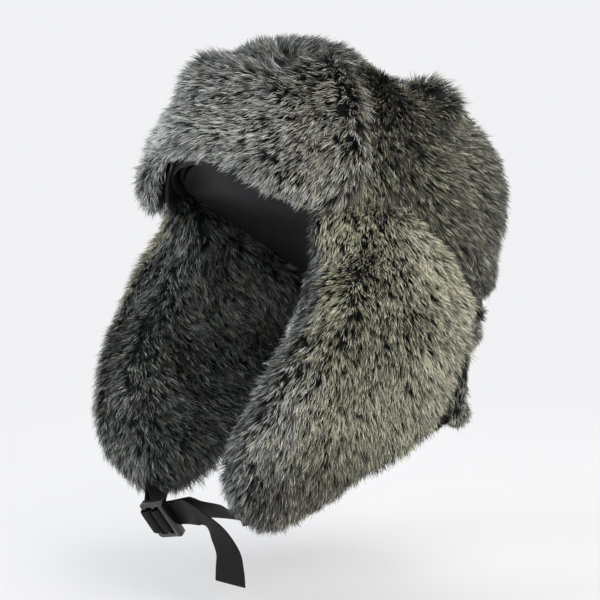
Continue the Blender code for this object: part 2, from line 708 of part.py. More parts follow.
def build():
    clear_scene()
    collection = bpy.data.collections.new("trapper_hat")
    cutters = bpy.data.collections.new("cutters")
    bpy.context.scene.collection.children.link(collection)
    bpy.context.scene.collection.children.link(cutters)
    fur = material("silver_grey_fur", FUR_COLOUR, 0.9)
    inner_fur = material("dark_grey_fur", INNER_FUR_COLOUR, 0.9)
    batting = material("white_batting", BATTING_COLOUR, 0.95)
    lining = material("black_lining", LINING_COLOUR, 0.6)
    webbing = material("black_webbing", WEBBING_COLOUR, 0.75)
    plastic = material("black_plastic", BUCKLE_COLOUR, 0.3)
    make_crown(collection, fur, batting, lining)
    make_front(collection, fur, batting, lining)
    make_sweatband(collection, lining)
    make_flaps(collection, fur, inner_fur, batting)
    make_buckle(collection, cutters, plastic)
    make_strap(collection, webbing)
    make_tab(collection, webbing)
    hang_on_hinges(collection)


build()
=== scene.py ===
import math

import bmesh
import bpy
import numpy as np
from mathutils import Matrix, Vector
from mathutils.bvhtree import BVHTree


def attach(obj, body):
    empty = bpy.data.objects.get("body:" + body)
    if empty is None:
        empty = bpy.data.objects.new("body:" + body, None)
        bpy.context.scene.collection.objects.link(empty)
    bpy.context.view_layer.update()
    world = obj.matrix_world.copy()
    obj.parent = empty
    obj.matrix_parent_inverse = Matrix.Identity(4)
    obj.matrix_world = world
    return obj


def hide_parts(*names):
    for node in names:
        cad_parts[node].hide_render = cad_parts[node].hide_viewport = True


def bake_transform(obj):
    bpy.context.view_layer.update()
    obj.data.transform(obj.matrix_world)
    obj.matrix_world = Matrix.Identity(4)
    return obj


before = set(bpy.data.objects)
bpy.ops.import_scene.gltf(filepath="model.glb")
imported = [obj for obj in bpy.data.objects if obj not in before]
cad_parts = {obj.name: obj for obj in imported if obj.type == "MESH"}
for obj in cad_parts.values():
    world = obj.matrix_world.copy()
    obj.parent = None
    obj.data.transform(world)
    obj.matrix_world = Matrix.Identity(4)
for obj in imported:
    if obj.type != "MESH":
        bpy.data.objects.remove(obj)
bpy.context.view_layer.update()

# Camera: looks at the hat's middle from the wearer's front left, slightly above
TARGET = Vector((0, 0, -0.05))
CAMERA_AWAY = 1.40
CAMERA_AZIMUTH = 52.0
CAMERA_ELEVATION = 7.0
LENS = 120.0
SHIFT = (-0.0167, -0.045)
FLOOR_Z = -0.268
FLOOR_REACH = 40.0
FLOOR_FADE = (-0.3, 1.0)  # distances from the middle over which the floor blends into the sky's light
FLOOR = (0.80, 0.80, 0.81)
SKY = (0.985, 0.985, 1.0)
SKY_STRENGTH = 0.90
LAMPS = (("key", (-0.5, -1.7, 1.3), 1.0, 14, (0.90, 0.95, 1.0)),  # name, place, size, power and colour
         ("fill", (1.8, 0.1, 0.8), 0.9, 16, (1.0, 0.95, 0.84)),
         ("top", (0.3, 0.5, 1.9), 1.2, 10, (1.0, 0.98, 0.95)))

# Chin strap and tab, with the same route as in the CAD part
WEBBING_WIDTH = 0.020
WEBBING = 0.0013
BAR_TILT = math.radians(35)
BUCKLE_TURN = math.radians(20)
BUCKLE_CENTRE = Vector((-0.0251, -0.1089, -0.2139))
BUCKLE_UP = Vector((0, -math.sin(BAR_TILT), math.cos(BAR_TILT)))
BUCKLE_PULL = Matrix.Rotation(BUCKLE_TURN, 3, BUCKLE_UP) @ Vector((1, 0, 0))
BUCKLE_FRONT = BUCKLE_PULL.cross(BUCKLE_UP)
SEWN_END = ((0.0572, -0.0885, -0.1878), (0.0531, -0.0935, -0.1965))
SEWN_ACROSS = Vector((0, -0.873, 0.487))
STRAP_RUN = ((0.0495, -0.0995, -0.1990), (0.0403, -0.0998, -0.1984), (0.0189, -0.0991, -0.2007),
             (0.0060, -0.0972, -0.2022))
STRAP_RUN_ACROSS = ((0, -0.873, 0.487), (0, -0.873, 0.487), (0, -0.82, 0.57), (0, -0.78, 0.62),
                    (0, -0.74, 0.67), (0, -0.66, 0.75))
STRAP_THREADED = ((0.0240, -0.0085), (0.0110, -0.0066), (0.0018, -0.0056), (-0.0022, -0.0040), (-0.0033, 0.0),
                  (-0.0023, 0.0028), (0.0, 0.0038), (0.0023, 0.0028), (0.0035, 0.0), (0.0046, -0.0030),
                  (0.0085, -0.0038), (0.0150, -0.0036))
STRAP_TAIL = ((0.0005, -0.1058, -0.2052), (0.0138, -0.1095, -0.2032), (0.0236, -0.1058, -0.2066),
              (0.0310, -0.1013, -0.2154), (0.0335, -0.0957, -0.2281), (0.0338, -0.0944, -0.2399),
              (0.0333, -0.0937, -0.2498))
STRAP_TAIL_ACROSS = ((-0.08, -0.46, 0.88), (0.11, -0.52, 0.85), (0.72, -0.43, 0.55), (0.93, 0, 0.36),
                     (0.93, 0.30, 0.20), (0.80, 0.57, 0.17), (0.62, 0.79, 0.10))
TAB_RUN = Vector((-0.0502, -0.0975, -0.2030))
TAB_PLY_APART = 0.0010
TAB_LOOP = ((-0.0136, -0.0058), (-0.0122, -0.0010), (-0.0117, 0.0027), (-0.0101, 0.0036), (-0.0070, 0.0036),
            (-0.0055, 0.0027), (-0.0052, -0.0005), (-0.0054, -0.0045))
STATION = 0.0006  # spacing of the webbing's cross sections

# Head space and lower edge of the crown, with the same values as in the CAD part
HEAD_HALF_WIDTH = 0.080
HEAD_HALF_FRONT = 0.090
HEAD_HALF_BACK = 0.111
HEAD_HEIGHT = 0.089
DOME_POWER = 2.1
WALL_REACH = 0.1
LINING_TO_CORE = 0.0014
BACKING_TO_CORE = 0.0010
LINING_OFFSET = 0.0011
QUILT_CHANNELS = 12
QUILT_ROWS = 5
QUILT_PUFF = 0.0024
REGIONS = ("centre", "left", "right")  # the crown's fur panels

# Padded cores
VOXEL = 0.0045
CROWN_SWELL = 0.0026  # how far the CAD layers are swollen before they are joined in one skin
BROW_SWELL = 0.0020
FLAP_SWELL = 0.0040
SKIN_DEPTH = 0.0095  # how far a core's skin lies under the CAD fur's surface
FLAP_SKIN_DEPTH = 0.0050
FLAP_INNER_SKIN_DEPTH = 0.0060
RIGHT_FLAP_SKIN_DEPTH = 0.0005
FLAP_BACK_SKIN_DEPTH = 0.0105
NAPE_SKIN_DEPTH = 0.0150
NAPE_INNER_SKIN_DEPTH = -0.0010
SEAM_DEPTH = 0.0005  # at the seams where the flaps hang
RIM_DEPTH = 0.0020  # under the crown's lower edge
CLOTH_FRAMES = 14
MOST_PUFF = 0.0025

# Root and tip colours of the fur's strands, the tips from dark to light
SILVER_ROOT = (0.010, 0.012, 0.012)
# Root of the flaps' inner plies: darker partly as that fur's own colour and partly as painted shade
DARKER_AND_SHADED_ROOT = (0.007, 0.009, 0.010)
SILVER_TIPS = ((0.0, (0.015, 0.017, 0.018)), (0.3, (0.096, 0.10, 0.098)), (0.6, (0.41, 0.42, 0.41)),
               (1.0, (0.85, 0.86, 0.84)))
OLIVE_TIPS = ((0.0, (0.017, 0.018, 0.012)), (0.3, (0.10, 0.10, 0.071)), (0.6, (0.42, 0.415, 0.30)),
              (1.0, (0.86, 0.85, 0.65)))
# Tips of the flaps' inner plies: partly the inner fur's own darker colour, partly painted shade of silver fur
# lying in shadow
DARKER_AND_SHADED_TIPS = ((0.0, (0.010, 0.011, 0.012)), (0.35, (0.055, 0.058, 0.058)), (0.65, (0.24, 0.25, 0.25)),
             (1.0, (0.66, 0.68, 0.67)))
DARKER_AND_SHADED_OLIVE_TIPS = ((0.0, (0.011, 0.011, 0.009)), (0.35, (0.058, 0.058, 0.045)), (0.65, (0.25, 0.25, 0.20)),
                   (1.0, (0.68, 0.68, 0.56)))
HALF_USED = 0.98  # share of each half of the strands' colours that its tips use, to keep the halves apart

# Strands: where along each its cross lines stand, as shares of its length, and its width at the first three
SHARES = np.array((0.0, 0.38, 0.72, 1.0))
TAPER = np.array((0.9, 1.0, 0.72))
STRANDS = 6  # in a clump
STRAND_WIDTH = 0.00048
LEAN = 0.66  # share of a strand's length that it runs along the skin
SPREAD = 0.0011  # how far apart a clump's strands stand at their roots
CONVERGE = 0.3  # share of that spread that is gone at their tips

# Seams where the flaps hang, and the first stretch below each over which a flap bends
EAR_SEAM = ((-0.0505, -0.0018), (-0.0270, -0.0025), (-0.0017, -0.0101), (0.0288, -0.0370), (0.0577, -0.0681))
EAR_SEAM_HALF_WIDTH = 0.0975
EAR_DOWN = Vector((0, -0.521, -0.853))
FUR_ABOVE_SEAM = 0.030  # how far above its seam's straight line an ear flap still carries fur
NAPE_SEAM_Z = -0.0885
NAPE_SEAM_HALF_WIDTH = 0.089
NAPE_SEAM_BACK = 0.119
SEAM_ROLL = 0.0135
# Rolls that fill out the brow flap's end on the wearer's left
BROW_END_ROLLS = (((0.0596, -0.0339, 0.0914), (0.0768, -0.0365, 0.0735), (0.0857, -0.0398, 0.0581),
                   (0.0918, -0.0427, 0.0419), (0.0939, -0.0490, 0.0243)),
                  ((0.0600, -0.0480, 0.0840), (0.0720, -0.0500, 0.0690), (0.0800, -0.0540, 0.0540)))
EDGE_RISE = 0.022  # height above the crown's lower edge at which its skin reaches full depth
EDGE_DEPTH = 0.0075  # skin depth at that edge
RIM_HEIGHT = 0.012  # height above it up to which a face that looks down is part of the rim
SEAM_NEAR = 0.016  # distance from a seam at which the skin starts to go from SEAM_DEPTH to its full depth
SEAM_FAR = 0.030  # distance from a seam at which the skin reaches its full depth


# Small helpers

WAVES = 7  # sine waves that add up to smooth noise


def smooth(value, low, high):
    share = np.clip((value - low) / (high - low), 0, 1)
    return share * share * (3 - 2 * share)


def mix(first, second, share):
    return first + (second - first) * share


def worked_out(rule, places):
    """What a rule gives for each of the places, or the same number for all."""
    return rule(places) if callable(rule) else np.full(len(places), rule)


def unit(vectors):
    return vectors / np.maximum(np.linalg.norm(vectors, axis=-1, keepdims=True), 1e-9)


def wander(places, scale, seed):
    """Smooth noise of three parts, each about -1 to 1, that changes over about that scale in metres."""
    dice = np.random.default_rng(seed)
    total = np.zeros((len(places), 3))
    for size, share in ((scale, 0.6), (scale / 2.2, 0.4)):
        waves = dice.normal(size=(3, WAVES, 3)) * 1.5 / size
        phases = dice.uniform(0, 2 * math.pi, (3, WAVES))
        heights = np.sin(np.einsum("ni,cki->nck", places, waves) + phases).sum(2) / math.sqrt(WAVES / 2)
        total += 0.5625 * share * heights
    return total


def catmull(points, count):
    """Points at equal shares along a smooth line through the points."""
    points = np.array([tuple(point) for point in points], float)
    padded = np.vstack([points[0], points, points[-1]])
    places = np.linspace(0, len(points) - 1, count)
    first = np.minimum(places.astype(int), len(points) - 2)
    t = (places - first)[:, None]
    a, b, c, d = (padded[first + step] for step in range(4))
    return 0.5 * (2 * b + (c - a) * t + (2 * a - 5 * b + 4 * c - d) * t**2 + (3 * b - a - 3 * c + d) * t**3)


def coordinates(mesh):
    places = np.empty(len(mesh.vertices) * 3)
    mesh.vertices.foreach_get("co", places)
    return places.reshape(-1, 3)


def normals_of(mesh):
    directions = np.empty(len(mesh.vertices) * 3)
    mesh.vertex_normals.foreach_get("vector", directions)
    return directions.reshape(-1, 3)


def place_vertices(mesh, places):
    mesh.vertices.foreach_set("co", np.ascontiguousarray(places, np.float32).ravel())
    mesh.update()


def evaluated_mesh(thing):
    graph = bpy.context.evaluated_depsgraph_get()
    return bpy.data.meshes.new_from_object(thing.evaluated_get(graph), depsgraph=graph)


def add(name, mesh, finish):
    mesh.materials.clear()
    mesh.materials.append(finish)
    mesh.shade_smooth()
    thing = bpy.data.objects.new(name, mesh)
    bpy.context.scene.collection.objects.link(thing)
    return thing


def grid_mesh(name, places, closed=False):
    """A mesh of rows of places, shape (rows, columns, 3), closed round each row if asked."""
    rows, columns, _ = places.shape
    index = np.arange(rows * columns).reshape(rows, columns)
    wrap = np.concatenate([index, index[:, :1]], 1) if closed else index
    faces = np.stack([wrap[:-1, :-1], wrap[:-1, 1:], wrap[1:, 1:], wrap[1:, :-1]], -1).reshape(-1, 4).tolist()
    if closed:
        faces += [index[0, ::-1].tolist(), index[-1].tolist()]
    mesh = bpy.data.meshes.new(name)
    mesh.from_pydata(places.reshape(-1, 3).tolist(), [], faces)
    mesh.update()
    return mesh


# Materials


def new_material(name, colour, roughness, **plain):
    """A Principled material. Its plain values go on the shader's own sockets."""
    made = bpy.data.materials.new(name)
    made.use_nodes = True
    shader = made.node_tree.nodes["Principled BSDF"]
    shader.inputs["Base Color"].default_value = (*colour, 1)
    shader.inputs["Roughness"].default_value = roughness
    for socket, value in plain.items():
        shader.inputs[socket.replace("_", " ")].default_value = value
    return made, made.node_tree, shader


def ramp(tree, source, stops):
    node = tree.nodes.new("ShaderNodeValToRGB")
    while len(node.color_ramp.elements) < len(stops):
        node.color_ramp.elements.new(0.5)
    for element, (place, colour) in zip(node.color_ramp.elements, stops):
        element.position = place
        element.color = (*colour, 1)
    tree.links.new(source, node.inputs["Fac"])
    return node.outputs["Color"]


def mixed(tree, share, first, second):
    node = tree.nodes.new("ShaderNodeMix")
    node.data_type = "RGBA"
    for value, place in ((share, 0), (first, 6), (second, 7)):
        if isinstance(value, tuple):
            node.inputs[place].default_value = (*value, 1)
        else:
            tree.links.new(value, node.inputs[place])
    return node.outputs[2]


def bump(tree, shader, height, strength, distance):
    node = tree.nodes.new("ShaderNodeBump")
    node.inputs["Strength"].default_value = strength
    node.inputs["Distance"].default_value = distance
    tree.links.new(height, node.inputs["Height"])
    tree.links.new(node.outputs["Normal"], shader.inputs["Normal"])


def noise_height(tree, scale, detail=4.0, vector=None):
    node = tree.nodes.new("ShaderNodeTexNoise")
    node.inputs["Scale"].default_value = scale
    node.inputs["Detail"].default_value = detail
    tree.links.new(vector or object_place(tree), node.inputs["Vector"])
    return node.outputs["Fac"]


def object_place(tree):
    return tree.nodes.new("ShaderNodeTexCoord").outputs["Object"]


def fur_material(name, root, cool, warm):
    """Each strand's UV map holds its colour, across, and the share of the way from its root to its tip,
    along. The left half of the colours are cool tips from dark to light, and the right half are warm ones."""
    made, tree, shader = new_material(name, root, 0.42, Specular_IOR_Level=0.45)
    uv = tree.nodes.new("ShaderNodeUVMap")
    uv.uv_map = "OFBake"
    split = tree.nodes.new("ShaderNodeSeparateXYZ")
    tree.links.new(uv.outputs["UV"], split.inputs["Vector"])
    stops = []
    for half, tips in enumerate((cool, warm)):
        stops += [((half + place * HALF_USED) / 2, colour) for place, colour in tips]
    tip = ramp(tree, split.outputs["X"], stops)
    share = ramp(tree, split.outputs["Y"], ((0.30, (0, 0, 0)), (0.82, (1, 1, 1))))
    tree.links.new(mixed(tree, share, root, tip), shader.inputs["Base Color"])
    return made


def cloth_material(name, colour, thread_scale, roughness=0.8, specular=0.2):
    made, tree, shader = new_material(name, colour, roughness, Specular_IOR_Level=specular)
    darker = tuple(part * 0.7 for part in colour)
    lighter = tuple(part * 1.4 for part in colour)
    mottled = ramp(tree, noise_height(tree, 60), ((0.3, darker), (0.7, lighter)))
    tree.links.new(mottled, shader.inputs["Base Color"])
    bump(tree, shader, noise_height(tree, thread_scale, 2), 0.25, 0.0003)
    return made


def webbing_material():
    """Ribbed black webbing: cross threads along its length, with faint warp lines."""
    made, tree, shader = new_material("black_webbing", (0.010, 0.0095, 0.0095), 0.7,
                                      Specular_IOR_Level=0.25)
    uv = tree.nodes.new("ShaderNodeUVMap")
    uv.uv_map = "Weave"
    waves = []
    for direction, scale in (("X", 320), ("Y", 380)):
        wave = tree.nodes.new("ShaderNodeTexWave")
        wave.bands_direction = direction
        wave.inputs["Scale"].default_value = scale
        wave.inputs["Distortion"].default_value = 0.6
        tree.links.new(uv.outputs["UV"], wave.inputs["Vector"])
        waves.append(wave.outputs["Fac"])
    weave = tree.nodes.new("ShaderNodeMath")
    weave.operation = "MULTIPLY"
    for place, source in enumerate(waves):
        tree.links.new(source, weave.inputs[place])
    colour = ramp(tree, weave.outputs[0], ((0.0, (0.004, 0.004, 0.0045)), (0.8, (0.017, 0.016, 0.0155))))
    tree.links.new(colour, shader.inputs["Base Color"])
    bump(tree, shader, weave.outputs[0], 0.6, 0.0003)
    return made


def plastic_material():
    made, tree, shader = new_material("black_plastic", (0.006, 0.006, 0.007), 0.2, Specular_IOR_Level=0.5,
                                      Coat_Weight=0.3, Coat_Roughness=0.08)
    scuffs = ramp(tree, noise_height(tree, 220), ((0.35, (0.13, 0.13, 0.13)), (0.75, (0.26, 0.26, 0.26))))
    tree.links.new(scuffs, shader.inputs["Roughness"])
    return made


# Webbing


def buckle_place(pull, front):
    return BUCKLE_CENTRE + BUCKLE_PULL * pull + BUCKLE_FRONT * front


def webbing_path(points, across):
    """Centres a station apart along a smooth line through the points, and width directions square to it."""
    fine = catmull(points, 40 * len(points))
    turns = catmull(across, 40 * len(points))
    travelled = np.concatenate([[0], np.cumsum(np.linalg.norm(np.diff(fine, axis=0), axis=1))])
    stops = np.linspace(0, travelled[-1], round(travelled[-1] / STATION))
    centres = np.stack([np.interp(stops, travelled, fine[:, axis]) for axis in range(3)], 1)
    turns = np.stack([np.interp(stops, travelled, turns[:, axis]) for axis in range(3)], 1)
    ahead = unit(np.gradient(centres, axis=0))
    widths = unit(turns - ahead * (turns * ahead).sum(1, keepdims=True))
    return centres, widths, np.cross(ahead, widths), travelled[-1]


def webbing_piece(name, points, across, finish, slant=0.0):
    """Flat woven webbing with rounded selvedges and a thread's thickness of ribbing. slant is the slope of
    its cut end."""
    centres, widths, faces, length = webbing_path(points, across)
    turn = np.linspace(0, 2 * math.pi, 29)[:-1]
    side = np.sign(np.cos(turn)) * np.abs(np.cos(turn)) ** 0.35 * WEBBING_WIDTH / 2
    thick = np.sign(np.sin(turn)) * np.abs(np.sin(turn)) ** 0.55 * WEBBING / 2
    ribs = 1 + 0.05 * np.sin(np.arange(len(centres)) * math.pi)[:, None]
    places = (centres[:, None] + widths[:, None] * side[None, :, None]
              + faces[:, None] * (thick[None] * ribs)[:, :, None])
    ahead = unit(np.gradient(centres, axis=0))
    from_end = np.arange(len(centres))[::-1] * STATION
    cut = slant * (1 - smooth(from_end, 0, WEBBING_WIDTH))
    places += ahead[:, None] * (cut[:, None] * side[None])[:, :, None]
    mesh = grid_mesh(name, places, closed=True)
    weave = mesh.uv_layers.new(name="Weave")
    corners = np.empty(len(mesh.loops), np.int32)
    mesh.loops.foreach_get("vertex_index", corners)
    along = corners // len(turn) * STATION
    weave.data.foreach_set("uv", np.stack([along, side[corners % len(turn)]], 1).astype(np.float32).ravel())
    return add(name, mesh, finish), centres, length


def make_strap(finish):
    points = [Vector(spot) for spot in SEWN_END + STRAP_RUN]
    points += [buckle_place(pull, front) for pull, front in STRAP_THREADED]
    points += [Vector(spot) for spot in STRAP_TAIL]
    across = list(STRAP_RUN_ACROSS) + [BUCKLE_UP] * len(STRAP_THREADED) + list(STRAP_TAIL_ACROSS)
    strap, centres, length = webbing_piece("strap_webbing", points, across, finish, slant=0.3)
    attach(strap, "ear_flap_left")
    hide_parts("chin_strap")
    print(f"Chin strap: {length * 1000:.0f} mm")


def make_tab(finish):
    run = [Vector((-x, y, z)) for x, y, z in SEWN_END] + [TAB_RUN]
    apart = Vector((TAB_PLY_APART, 0, 0))
    loop = [buckle_place(pull, front) for pull, front in TAB_LOOP]
    points = [spot - apart for spot in run] + loop + [spot + apart for spot in reversed(run)]
    edge = [SEWN_ACROSS, SEWN_ACROSS, SEWN_ACROSS.lerp(BUCKLE_UP, 0.4)]
    across = edge + [BUCKLE_UP] * len(loop) + edge[::-1]
    tab, _, _ = webbing_piece("tab_webbing", points, across, finish)
    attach(tab, "ear_flap_right")
    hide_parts("buckle_tab")


def make_buckle(finish):
    """The CAD buckle with its edges rounded over."""
    shape = bmesh.new()
    shape.from_mesh(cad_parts["ladder_buckle"].data)
    bmesh.ops.remove_doubles(shape, verts=shape.verts, dist=1e-5)
    bmesh.ops.dissolve_limit(shape, angle_limit=0.02, verts=shape.verts, edges=shape.edges)
    mesh = bpy.data.meshes.new("buckle")
    shape.to_mesh(mesh)
    shape.free()
    rough = add("buckle_rough", mesh, finish)
    rounding = rough.modifiers.new("Rounding", "BEVEL")
    rounding.width = 0.00045
    rounding.segments = 3
    rounding.limit_method = "ANGLE"
    rounding.angle_limit = math.radians(35)
    buckle = add("moulded_buckle", evaluated_mesh(rough), finish)
    bpy.data.objects.remove(rough)
    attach(buckle, "buckle")
    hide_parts("ladder_buckle")


# Lining of the head space


def lower_edge(angle):
    """Height of the crown's lower edge at that angle, in degrees, from the front."""
    return 0.030 * (1 - smooth(angle, 0, 65)) - 0.086 * smooth(angle, 78, 138)


def dome(angle, rise, offset):
    """The crown's inside at that angle from the front: rise is 1 at its top, 0 at the origin's height."""
    facing = np.radians(angle)
    around = np.abs(angle)
    puff = 0.013 * smooth(around, 80, 180) * offset / 0.0215
    depth = np.where(around < 90, HEAD_HALF_FRONT, HEAD_HALF_BACK) + offset + puff
    width = HEAD_HALF_WIDTH + offset + 0.4 * puff
    turn = np.maximum(rise, 0) * math.pi / 2
    share = np.maximum(0, np.cos(turn)) ** (2 / DOME_POWER)
    z = np.where(rise < 0, rise * WALL_REACH, (HEAD_HEIGHT + offset) * np.sin(turn) ** (2 / DOME_POWER))
    y = -depth * share * np.cos(facing)
    z = np.where(z > 0, z * (1 - 0.15 * smooth(y, -0.010, 0.070)), z)
    return np.stack([width * share * np.sin(facing), y, z], -1)


def above_edge(places):
    """Each place's height above the crown's lower edge."""
    return places[:, 2] - lower_edge(np.degrees(np.arctan2(np.abs(places[:, 0]), -places[:, 1])))


def rise_at(z):
    """The rise at which the dome stands at that height."""
    over = np.clip(z / HEAD_HEIGHT, 0, 1) ** (DOME_POWER / 2)
    return np.where(z <= 0, z / WALL_REACH, np.arcsin(over) * 2 / math.pi)


def make_lining(finish):
    """Quilted lining: channels sewn from the lower edge to the crown's top, with a puff between the seams."""
    angle, share = np.meshgrid(np.linspace(-180, 180, 289)[:-1], np.linspace(0, 0.985, 100))
    rise = mix(rise_at(lower_edge(np.abs(angle)) + 0.0005), 1, share)
    flat_ends = smooth(share, 0, 0.06) * (1 - smooth(share, 0.75, 0.97))
    channels = np.abs(np.sin(np.radians(angle) * QUILT_CHANNELS / 2)) ** 0.5
    rows = np.abs(np.sin(share * math.pi * QUILT_ROWS)) ** 0.4
    places = dome(angle, rise, LINING_OFFSET - QUILT_PUFF * channels * flat_ends * rows)
    ruffle = wander(places.reshape(-1, 3), 0.02, 5).reshape(places.shape)
    lining = add("quilted_lining", grid_mesh("quilted_lining", places + 0.0004 * ruffle, closed=True), finish)
    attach(lining, "crown")
    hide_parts(*[f"crown_{part}_lining" for part in (*REGIONS, "front")])


def make_sweatband(finish):
    """A ribbed band round the opening, turned over at both edges, with its ends meeting behind the head."""
    angle = np.linspace(-179, 179, 520)
    turn = np.linspace(0, 2 * math.pi, 33)[:-1]
    height = 0.016 + 0.0145 * np.sign(np.cos(turn)) * np.abs(np.cos(turn)) ** 0.5
    offset = -0.0019 + 0.0008 * np.sign(np.sin(turn)) * np.abs(np.sin(turn)) ** 0.7
    angles = np.repeat(angle[:, None], len(turn), 1)
    ribs = 0.00018 * np.sin(np.radians(angles) * 150) * (offset < -0.0019)
    places = dome(angles, rise_at(lower_edge(np.abs(angles)) + height), offset + ribs)
    band = add("ribbed_sweatband", grid_mesh("ribbed_sweatband", places, closed=True), finish)
    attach(band, "crown")
    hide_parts("sweatband")


def soft_cloth(name, node, body, finish):
    """A CAD cloth panel with a finer mesh and shallow folds."""
    shape = bmesh.new()
    shape.from_mesh(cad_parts[node].data)
    bmesh.ops.remove_doubles(shape, verts=shape.verts, dist=1e-5)
    bmesh.ops.subdivide_edges(shape, edges=shape.edges, cuts=2, use_grid_fill=True, smooth=0.6)
    mesh = bpy.data.meshes.new(name)
    shape.to_mesh(mesh)
    shape.free()
    places = coordinates(mesh)
    place_vertices(mesh, places + 0.0005 * wander(places, 0.025, 9))
    cloth = add(name, mesh, finish)
    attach(cloth, body)
    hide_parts(node)
    return cloth


# Padded cores under the fur


def tree_of(*nodes):
    """A search tree over the faces of CAD nodes."""
    points, faces = [], []
    for node in nodes:
        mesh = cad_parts[node].data
        start = len(points)
        points += [vertex.co.copy() for vertex in mesh.vertices]
        faces += [[start + corner for corner in polygon.vertices] for polygon in mesh.polygons]
    return BVHTree.FromPolygons(points, faces)


def distances(tree, places):
    return np.array([tree.find_nearest(Vector(place))[3] for place in places])


def from_line(places, line):
    """Each place's distance from a line of points."""
    return np.linalg.norm(places[:, None] - roll_points(line)[None], axis=2).min(1)


def roll_points(line, spacing=0.005):
    """Places that far apart along a line."""
    fine = catmull(line, 200)
    travelled = np.concatenate([[0], np.cumsum(np.linalg.norm(np.diff(fine, axis=0), axis=1))])
    stops = np.linspace(0, travelled[-1], max(2, round(travelled[-1] / spacing)))
    return np.stack([np.interp(stops, travelled, fine[:, axis]) for axis in range(3)], 1)


def core_mesh(name, nodes, swell, rolls=()):
    """One closed skin round CAD nodes, swollen enough to close the gaps between them, and round rolls along
    lines."""
    shape = bmesh.new()
    for node in nodes:
        part = bmesh.new()
        part.from_mesh(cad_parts[node].data)
        bmesh.ops.remove_doubles(part, verts=part.verts, dist=1e-5)
        bmesh.ops.recalc_face_normals(part, faces=part.faces)
        part.normal_update()
        for corner in part.verts:
            corner.co += corner.normal * swell
        piece = bpy.data.meshes.new("piece")
        part.to_mesh(piece)
        part.free()
        shape.from_mesh(piece)
    for line in rolls:
        for place in roll_points(line):
            made = bmesh.ops.create_icosphere(shape, subdivisions=2, radius=SEAM_ROLL)
            bmesh.ops.translate(shape, verts=made["verts"], vec=place)
    mesh = bpy.data.meshes.new(name)
    shape.to_mesh(mesh)
    shape.free()
    rough = bpy.data.objects.new(name + "_rough", mesh)
    bpy.context.scene.collection.objects.link(rough)
    remesh = rough.modifiers.new("Skin", "REMESH")
    remesh.mode = "VOXEL"
    remesh.voxel_size = VOXEL
    even = rough.modifiers.new("Even", "SMOOTH")
    even.iterations = 5
    even.factor = 0.5
    skin = evaluated_mesh(rough)
    bpy.data.objects.remove(rough)
    keep_largest(skin)
    return skin


def keep_largest(mesh):
    """Drops every closed skin but the largest, such as one round a gap inside."""
    shape = bmesh.new()
    shape.from_mesh(mesh)
    left = set(shape.verts)
    islands = []
    while left:
        island, edge = set(), [left.pop()]
        while edge:
            corner = edge.pop()
            island.add(corner)
            for link in corner.link_edges:
                other = link.other_vert(corner)
                if other in left:
                    left.discard(other)
                    edge.append(other)
        islands.append(island)
    islands.sort(key=len)
    bmesh.ops.delete(shape, geom=[corner for island in islands[:-1] for corner in island], context="VERTS")
    shape.to_mesh(mesh)
    shape.free()


def puffed(thing, held):
    """Inflates a padded piece with a cloth simulation that holds some vertices, and limits how far it
    swells."""
    start = coordinates(thing.data)
    group = thing.vertex_groups.new(name="Held")
    group.add(np.nonzero(held)[0].tolist(), 1.0, "REPLACE")
    cloth = thing.modifiers.new("Cloth", "CLOTH")
    settings = cloth.settings
    settings.quality = 5
    settings.mass = 0.15
    settings.tension_stiffness = 12
    settings.compression_stiffness = 4
    settings.bending_stiffness = 0.3
    settings.use_pressure = True
    settings.uniform_pressure_force = 5
    settings.vertex_group_mass = group.name
    settings.effector_weights.gravity = 0
    cloth.collision_settings.use_collision = False
    scene = bpy.context.scene
    cloth.point_cache.frame_start = 1
    cloth.point_cache.frame_end = CLOTH_FRAMES
    for number in range(1, CLOTH_FRAMES + 1):
        scene.frame_set(number)
    settled = evaluated_mesh(thing)
    moved = coordinates(settled) - start
    scene.frame_set(1)
    thing.modifiers.clear()
    thing.vertex_groups.clear()
    bpy.data.meshes.remove(settled)
    moved = np.nan_to_num(moved)
    far = np.linalg.norm(moved, axis=1, keepdims=True)
    place_vertices(thing.data, start + moved * np.minimum(1, MOST_PUFF / np.maximum(far, 1e-9)))


def neighbour_mean(mesh, values, times):
    """Values at vertices, evened out over each vertex's neighbours."""
    edges = np.empty(len(mesh.edges) * 2, np.int32)
    mesh.edges.foreach_get("vertices", edges)
    first, second = edges.reshape(-1, 2).T
    count = np.bincount(edges, minlength=len(values)).astype(float)
    for _ in range(times):
        total = np.zeros_like(values)
        np.add.at(total, first, values[second])
        np.add.at(total, second, values[first])
        values = 0.5 * values + 0.5 * total / count.reshape(-1, *[1] * (values.ndim - 1))
    return values


def sink(mesh, depth, steps=3):
    """Moves a skin inwards along its normals by a depth given at each vertex, evening it out on the way."""
    for _ in range(steps):
        places = coordinates(mesh) - normals_of(mesh) * (depth / steps)[:, None]
        place_vertices(mesh, neighbour_mean(mesh, places, 1))


def outwardness(places, directions):
    """How far each direction points away from the head's middle: 1 straight out, -1 straight in."""
    away = unit(places - np.array((0, 0.01, 0.0)))
    return (directions * away).sum(1)


